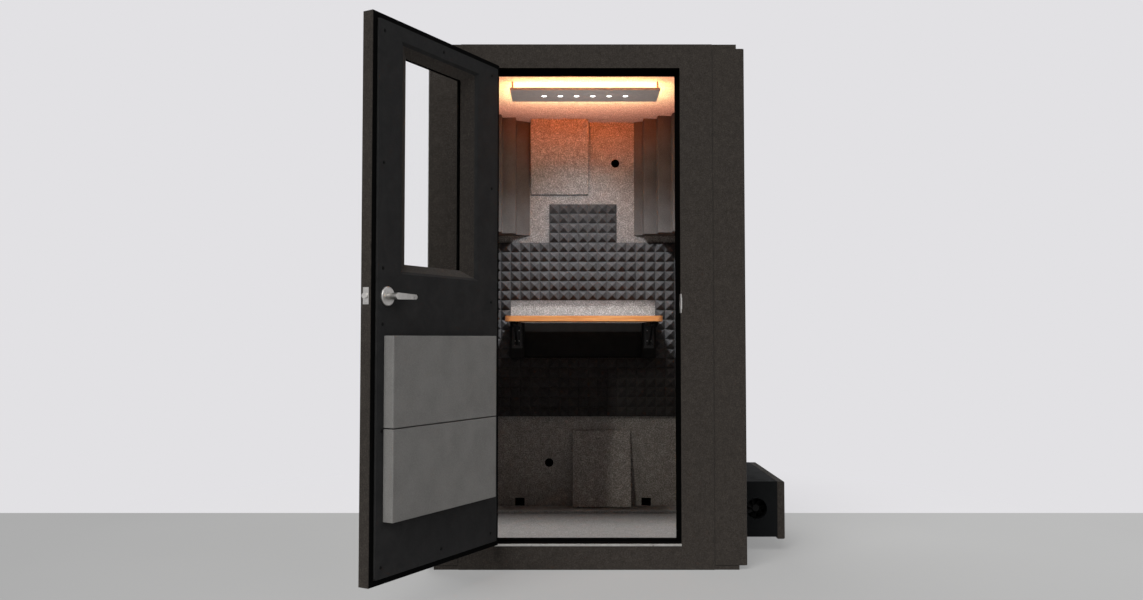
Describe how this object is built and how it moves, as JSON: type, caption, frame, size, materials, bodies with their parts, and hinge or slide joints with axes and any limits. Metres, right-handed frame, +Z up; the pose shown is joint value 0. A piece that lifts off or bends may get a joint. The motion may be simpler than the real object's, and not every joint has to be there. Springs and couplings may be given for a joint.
{
  "type": "vocal booth",
  "caption": "Free-standing sound-isolating booth with a hinged windowed door, fold-down desk, foam-lined wall, ceiling light and side vent silencer.",
  "frame": {"origin": "middle of the cabin's footprint, on the ground", "axes": "+Z up; -Y out of the doorway; +X to the right, towards the silencer box, seen from the doorway"},
  "size_m": [1.6442, 2.0021, 2.13],
  "materials": {
    "exterior_fabric": "dark speckled loop-pile fabric",
    "interior_fabric": "light grey speckled fabric",
    "carpet": "low grey carpet",
    "core_board": "raw board",
    "base_board": "black painted board",
    "frame_black": "satin black",
    "seal_rubber": "matte black",
    "door_inner": "near-black board",
    "charcoal_foam": "open-cell foam",
    "grey_foam": "open-cell foam",
    "trap_foam": "open-cell foam",
    "desk_wood": "oiled wood",
    "block_black": "black painted wood",
    "bracket_steel": "black powder coat",
    "satin_metal": "satin",
    "light_metal": "brushed",
    "spot_lens": "lit lens",
    "strip_lens": "warm lit strip",
    "window_glass": "clear laminated",
    "silencer_black": "smooth black",
    "screw_black": "black oxide",
    "fan_plastic": "matte",
    "port_black": "matte"
  },
  "bodies": {
    "booth": {"floor_panel": "base_board", "floor_carpet": "carpet", "back_ledge": "interior_fabric", "roof_panel": "exterior_fabric", "ceiling_liner": "interior_fabric", "front_core": "core_board", "back_core": "core_board", "left_core": "core_board", "right_core": "core_board", "front_skin": "exterior_fabric", "back_skin": "exterior_fabric", "left_skin": "exterior_fabric", "right_skin": "exterior_fabric", "corner_strips": "exterior_fabric", "front_liner": "interior_fabric", "back_liner": "interior_fabric", "left_liner": "interior_fabric", "right_liner": "interior_fabric", "door_frame": "frame_black", "threshold_strip": "light_metal", "strike_plate": "satin_metal", "frame_hinges": "satin_metal", "foam_top_block": "charcoal_foam", "foam_upper": "charcoal_foam", "foam_sides": "charcoal_foam", "foam_lower": "charcoal_foam", "bass_traps": "trap_foam", "vent_cover_upper": "interior_fabric", "vent_cover_lower": "interior_fabric", "cable_ports": "port_black", "floor_ports": "port_black", "desk_wall_blocks": "block_black", "bracket_legs": "bracket_steel", "bracket_screws": "satin_metal", "light_housing": "light_metal", "light_spots": "spot_lens", "led_strip": "strip_lens", "silencer_box": "silencer_black", "silencer_cover": "exterior_fabric", "silencer_baffles": "grey_foam", "fan_frame": "fan_plastic", "wall_duct": "port_black", "rear_grilles": "silencer_black"},
    "door": {"door_slab": "exterior_fabric", "door_panel": "door_inner", "door_seal": "seal_rubber", "window_glass": "window_glass", "window_trim": "frame_black", "door_foam_upper": "grey_foam", "door_foam_lower": "grey_foam", "door_lock": "satin_metal", "door_hinges": "satin_metal", "door_screws": "screw_black"},
    "lever_set": {"lever_set": "satin_metal"},
    "latch_bolt": {"latch_bolt": "satin_metal"},
    "desk": {"desk_board": "desk_wood", "desk_arms": "bracket_steel"},
    "strut_left": {"strut_left": "bracket_steel"},
    "strut_right": {"strut_right": "bracket_steel"},
    "fan_rotor": {"fan_rotor": "fan_plastic"}
  },
  "joints": [
    {"name": "door_hinge", "type": "hinge", "parent": "booth", "child": "door", "pos_m": [-0.392, -0.6545, 1.0685], "axis": [0, 0, 1], "range_deg": [-55, 119.4]},
    {"name": "lever_turn", "type": "hinge", "parent": "door", "child": "lever_set", "pos_m": [-0.7276, -1.26945, 1.0685], "axis": [-0.8712, 0.4909, 0], "range_deg": [0, 45], "stiffness_Nm_per_rad": 1.2, "springref_deg": -8.59},
    {"name": "latch_slide", "type": "slide", "parent": "door", "child": "latch_bolt", "axis": [0.4909, 0.8712, 0], "range_m": [0, 0.0121]},
    {"name": "desk_fold", "type": "hinge", "parent": "booth", "child": "desk", "pos_m": [0, 0.4665, 0.9975], "axis": [1, 0, 0], "range_deg": [0, 90]},
    {"name": "strut_left_fold", "type": "hinge", "parent": "booth", "child": "strut_left", "pos_m": [-0.344, 0.4665, 0.8975], "axis": [1, 0, 0], "range_deg": [0, 115]},
    {"name": "strut_right_fold", "type": "hinge", "parent": "booth", "child": "strut_right", "pos_m": [0.344, 0.4665, 0.8975], "axis": [1, 0, 0], "range_deg": [0, 115]},
    {"name": "fan_spin", "type": "hinge", "parent": "booth", "child": "fan_rotor", "pos_m": [0.745, -0.3, 0.186], "axis": [0, 1, 0], "continuous": true}
  ],
  "couplings": [
    {"joint": "latch_slide", "follows": "lever_turn", "m_per_rad": 0.015279},
    {"joint": "strut_left_fold", "follows": "desk_fold", "ratio": 1.2736},
    {"joint": "strut_right_fold", "follows": "desk_fold", "ratio": 1.2736}
  ]
}
